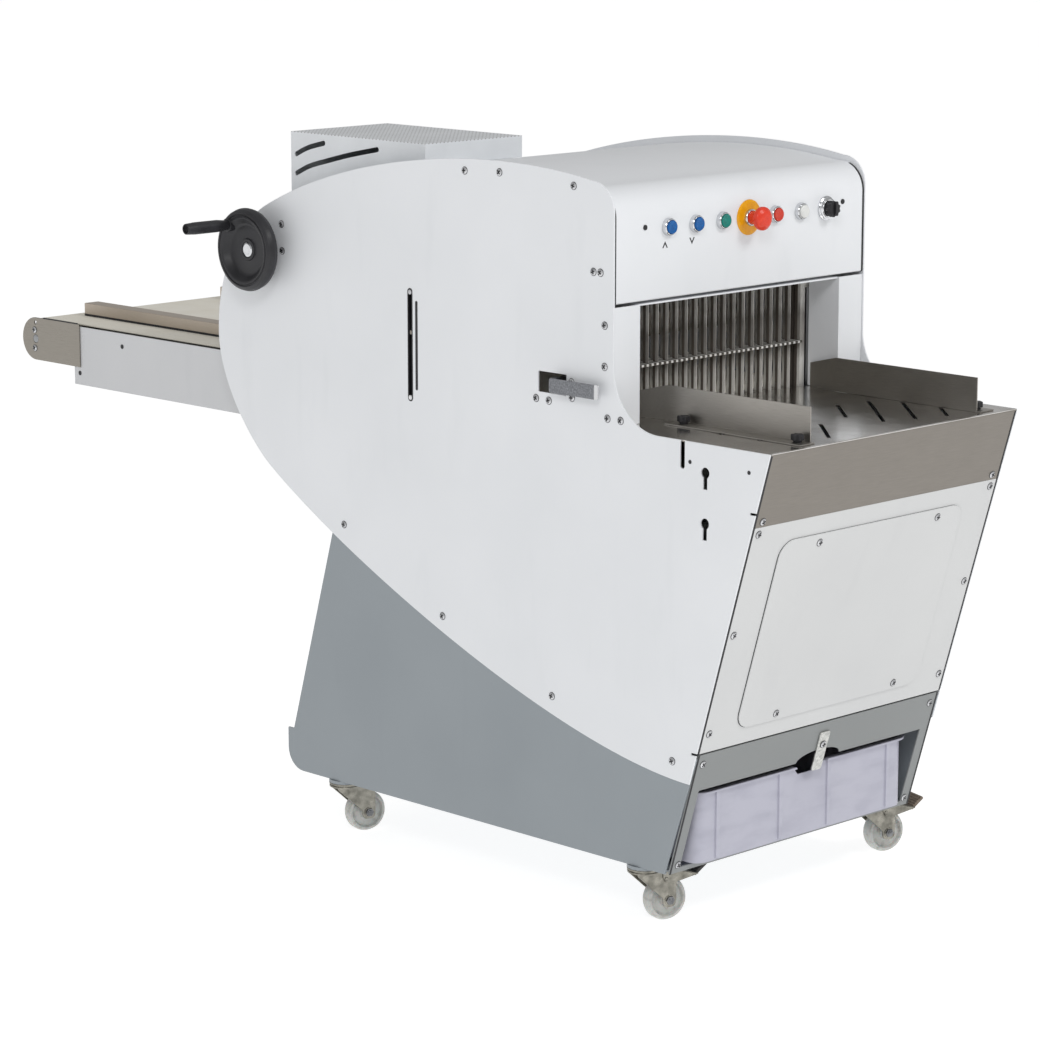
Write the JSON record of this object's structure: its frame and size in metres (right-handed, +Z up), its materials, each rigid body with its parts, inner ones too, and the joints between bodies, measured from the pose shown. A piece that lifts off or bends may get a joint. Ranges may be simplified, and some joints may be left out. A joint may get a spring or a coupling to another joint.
{
  "type": "bread slicer with crank",
  "caption": "Floor-standing bread slicer on casters: belt feed through two sliding blade frames onto a steel tray, hold-down set by a cranked handwheel, crumb crate below.",
  "frame": {"origin": "on the floor, under the middle of the bounding box", "axes": "+Z up, +Y from the outfeed tray towards the feed conveyor, +X to the right as seen from the front, where the controls are"},
  "size_m": [0.8636, 2.023, 1.268],
  "materials": {
    "white_paint": "satin",
    "grey_paint": "satin",
    "stainless": "brushed",
    "machined_steel": "machined",
    "zinc": "satin zinc plate",
    "black_plastic": "matte",
    "white_nylon": "satin",
    "crate_plastic": "satin, slightly milky",
    "belt_canvas": "matte",
    "motor_paint": "satin",
    "blue_button": "gloss",
    "green_button": "gloss",
    "red_button": "gloss",
    "clear_button": "gloss"
  },
  "bodies": {
    "machine": {"left_side_panel": "white_paint", "right_side_panel": "white_paint", "left_base_panel": "grey_paint", "right_base_panel": "grey_paint", "base_floor": "grey_paint", "control_hood": "white_paint", "rear_cover": "white_paint", "belly_cover": "white_paint", "top_box": "white_paint", "mouth_surround": "white_paint", "outfeed_tray": "stainless", "front_panel": "white_paint", "access_cover": "white_paint", "lower_front_frame": "grey_paint", "cutter_frame": "machined_steel", "main_motor": "motor_paint", "conveyor_frame": "white_paint", "left_end_plate": "stainless", "right_end_plate": "stainless", "left_bread_rail": "stainless", "right_bread_rail": "stainless", "feed_belt": "belt_canvas"},
    "crate": {"crumb_crate": "crate_plastic"},
    "latch": {"crate_latch": "stainless"},
    "left_guide_body": {"left_guide": "stainless"},
    "right_guide_body": {"right_guide": "stainless"},
    "left_front_knob_body": {"left_front_knob": "black_plastic"},
    "left_rear_knob_body": {"left_rear_knob": "black_plastic"},
    "right_front_knob_body": {"right_front_knob": "black_plastic"},
    "right_rear_knob_body": {"right_rear_knob": "black_plastic"},
    "front_blades": {"front_blade_frame": "machined_steel"},
    "rear_blades": {"rear_blade_frame": "machined_steel"},
    "front_rod": {"front_con_rod": "machined_steel"},
    "rear_rod": {"rear_con_rod": "machined_steel"},
    "shaft": {"eccentric_shaft": "machined_steel"},
    "wheel_crank": {"handwheel": "black_plastic"},
    "grip": {"crank_grip": "black_plastic"},
    "screw": {"lift_screw": "machined_steel"},
    "press": {"press_unit": "stainless", "blade_comb": "stainless"},
    "lever": {"side_lever": "stainless"},
    "front_roller": {"drive_roller": "machined_steel"},
    "rear_roller": {"tail_roller": "machined_steel"},
    "up_button_body": {"up_button": "blue_button"},
    "down_button_body": {"down_button": "blue_button"},
    "start_button_body": {"start_button": "green_button"},
    "emergency_button_body": {"emergency_button": "red_button"},
    "stop_button_body": {"stop_button": "red_button"},
    "reset_button_body": {"reset_button": "clear_button"},
    "selector_knob_body": {"selector_knob": "black_plastic"},
    "front_left_caster": {"front_left_fork": "zinc"},
    "front_left_roller": {"front_left_wheel": "white_nylon"},
    "front_left_brake": {"front_left_pedal": "zinc"},
    "front_right_caster": {"front_right_fork": "zinc"},
    "front_right_roller": {"front_right_wheel": "white_nylon"},
    "front_right_brake": {"front_right_pedal": "zinc"},
    "rear_left_caster": {"rear_left_fork": "zinc"},
    "rear_left_roller": {"rear_left_wheel": "white_nylon"},
    "rear_right_caster": {"rear_right_fork": "zinc"},
    "rear_right_roller": {"rear_right_wheel": "white_nylon"}
  },
  "joints": [
    {"name": "crate_slide", "type": "slide", "parent": "machine", "child": "crate", "axis": [0, -1, 0], "range_m": [0, 0.38]},
    {"name": "latch_turn", "type": "hinge", "parent": "machine", "child": "latch", "pos_m": [0.04547, -0.84698, 0.278], "axis": [0, -0.9593, -0.2823], "range_deg": [-90, 90]},
    {"name": "left_guide_slide", "type": "slide", "parent": "machine", "child": "left_guide_body", "axis": [1, 0, 0], "range_m": [-0.003, 0.008]},
    {"name": "right_guide_slide", "type": "slide", "parent": "machine", "child": "right_guide_body", "axis": [1, 0, 0], "range_m": [-0.008, 0.002]},
    {"name": "left_front_knob_turn", "type": "hinge", "parent": "machine", "child": "left_front_knob_body", "pos_m": [-0.17353, -0.9735, 0.84], "axis": [0, 0, 1], "range_deg": [-180, 180]},
    {"name": "left_rear_knob_turn", "type": "hinge", "parent": "machine", "child": "left_rear_knob_body", "pos_m": [-0.17353, -0.7255, 0.84], "axis": [0, 0, 1], "range_deg": [-180, 180]},
    {"name": "right_front_knob_turn", "type": "hinge", "parent": "machine", "child": "right_front_knob_body", "pos_m": [0.28347, -0.9735, 0.84], "axis": [0, 0, 1], "range_deg": [-180, 180]},
    {"name": "right_rear_knob_turn", "type": "hinge", "parent": "machine", "child": "right_rear_knob_body", "pos_m": [0.28347, -0.7255, 0.84], "axis": [0, 0, 1], "range_deg": [-180, 180]},
    {"name": "front_blades_stroke", "type": "slide", "parent": "machine", "child": "front_blades", "axis": [0, 0, 1], "range_m": [-0.02, 0.02]},
    {"name": "rear_blades_stroke", "type": "slide", "parent": "machine", "child": "rear_blades", "axis": [0, 0, 1], "range_m": [-0.02, 0.02]},
    {"name": "front_rod_swing", "type": "hinge", "parent": "front_blades", "child": "front_rod", "pos_m": [-0.02953, -0.584, 0.684], "axis": [1, 0, 0], "range_deg": [-6, 6]},
    {"name": "rear_rod_swing", "type": "hinge", "parent": "rear_blades", "child": "rear_rod", "pos_m": [0.09647, -0.567, 0.684], "axis": [1, 0, 0], "range_deg": [-6, 6]},
    {"name": "eccentric_spin", "type": "hinge", "parent": "machine", "child": "shaft", "pos_m": [0.03347, -0.5755, 0.48], "axis": [1, 0, 0], "continuous": true},
    {"name": "handwheel_turn", "type": "hinge", "parent": "machine", "child": "wheel_crank", "pos_m": [-0.28153, 0.2005, 1.06], "axis": [1, 0, 0], "range_deg": [-1621, 1621]},
    {"name": "grip_spin", "type": "hinge", "parent": "wheel_crank", "child": "grip", "pos_m": [-0.36653, 0.24222, 1.10172], "axis": [1, 0, 0], "continuous": true},
    {"name": "screw_turn", "type": "hinge", "parent": "machine", "child": "screw", "pos_m": [0.03347, -0.2845, 1.1], "axis": [0, 0, 1], "range_deg": [-1621, 1621]},
    {"name": "press_lift", "type": "slide", "parent": "machine", "child": "press", "axis": [0, 0, 1], "range_m": [-0.045, 0.045]},
    {"name": "lever_swing", "type": "hinge", "parent": "machine", "child": "lever", "pos_m": [-0.26253, -0.5425, 0.896], "axis": [0, 0, -1], "range_deg": [0, 60]},
    {"name": "drive_roller_spin", "type": "hinge", "parent": "machine", "child": "front_roller", "pos_m": [0.03347, -0.5025, 0.809], "axis": [1, 0, 0], "continuous": true},
    {"name": "tail_roller_spin", "type": "hinge", "parent": "machine", "child": "rear_roller", "pos_m": [0.03347, 0.9695, 0.809], "axis": [1, 0, 0], "continuous": true},
    {"name": "up_press", "type": "slide", "parent": "machine", "child": "up_button_body", "axis": [0, 1, 0], "range_m": [0, 0.004], "stiffness_N_per_m": 400},
    {"name": "down_press", "type": "slide", "parent": "machine", "child": "down_button_body", "axis": [0, 1, 0], "range_m": [0, 0.004], "stiffness_N_per_m": 400},
    {"name": "start_press", "type": "slide", "parent": "machine", "child": "start_button_body", "axis": [0, 1, 0], "range_m": [0, 0.004], "stiffness_N_per_m": 400},
    {"name": "stop_press", "type": "slide", "parent": "machine", "child": "stop_button_body", "axis": [0, 1, 0], "range_m": [0, 0.004], "stiffness_N_per_m": 400},
    {"name": "reset_press", "type": "slide", "parent": "machine", "child": "reset_button_body", "axis": [0, 1, 0], "range_m": [0, 0.004], "stiffness_N_per_m": 400},
    {"name": "emergency_press", "type": "slide", "parent": "machine", "child": "emergency_button_body", "axis": [0, 1, 0], "range_m": [0, 0.005]},
    {"name": "selector_turn", "type": "hinge", "parent": "machine", "child": "selector_knob_body", "pos_m": [0.24447, -0.6665, 1.158], "axis": [0, 1, 0], "range_deg": [-45, 45]},
    {"name": "front_left_swivel", "type": "hinge", "parent": "machine", "child": "front_left_caster", "pos_m": [-0.25253, -0.7185, 0.09], "axis": [0, 0, 1], "continuous": true},
    {"name": "front_left_spin", "type": "hinge", "parent": "front_left_caster", "child": "front_left_roller", "pos_m": [-0.21611, -0.72936, 0.0375], "axis": [0.2857, 0.9583, 0], "continuous": true},
    {"name": "front_left_pedal_press", "type": "hinge", "parent": "front_left_caster", "child": "front_left_brake", "pos_m": [-0.22378, -0.72707, 0.076], "axis": [0.2857, 0.9583, 0], "range_deg": [0, 12]},
    {"name": "front_right_swivel", "type": "hinge", "parent": "machine", "child": "front_right_caster", "pos_m": [0.31947, -0.7185, 0.09], "axis": [0, 0, 1], "continuous": true},
    {"name": "front_right_spin", "type": "hinge", "parent": "front_right_caster", "child": "front_right_roller", "pos_m": [0.35589, -0.72936, 0.0375], "axis": [0.2857, 0.9583, 0], "continuous": true},
    {"name": "front_right_pedal_press", "type": "hinge", "parent": "front_right_caster", "child": "front_right_brake", "pos_m": [0.34822, -0.72707, 0.076], "axis": [0.2857, 0.9583, 0], "range_deg": [0, 12]},
    {"name": "rear_left_swivel", "type": "hinge", "parent": "machine", "child": "rear_left_caster", "pos_m": [-0.25253, 0.0325, 0.09], "axis": [0, 0, 1], "continuous": true},
    {"name": "rear_left_spin", "type": "hinge", "parent": "rear_left_caster", "child": "rear_left_roller", "pos_m": [-0.21611, 0.02164, 0.0375], "axis": [0.2857, 0.9583, 0], "continuous": true},
    {"name": "rear_right_swivel", "type": "hinge", "parent": "machine", "child": "rear_right_caster", "pos_m": [0.31947, 0.0325, 0.09], "axis": [0, 0, 1], "continuous": true},
    {"name": "rear_right_spin", "type": "hinge", "parent": "rear_right_caster", "child": "rear_right_roller", "pos_m": [0.35589, 0.02164, 0.0375], "axis": [0.2857, 0.9583, 0], "continuous": true}
  ],
  "couplings": [
    {"joint": "rear_blades_stroke", "follows": "front_blades_stroke", "ratio": -1},
    {"joint": "screw_turn", "follows": "press_lift", "rad_per_m": 628.32},
    {"joint": "handwheel_turn", "follows": "press_lift", "rad_per_m": 628.32},
    {"joint": "tail_roller_spin", "follows": "drive_roller_spin", "ratio": 1}
  ]
}
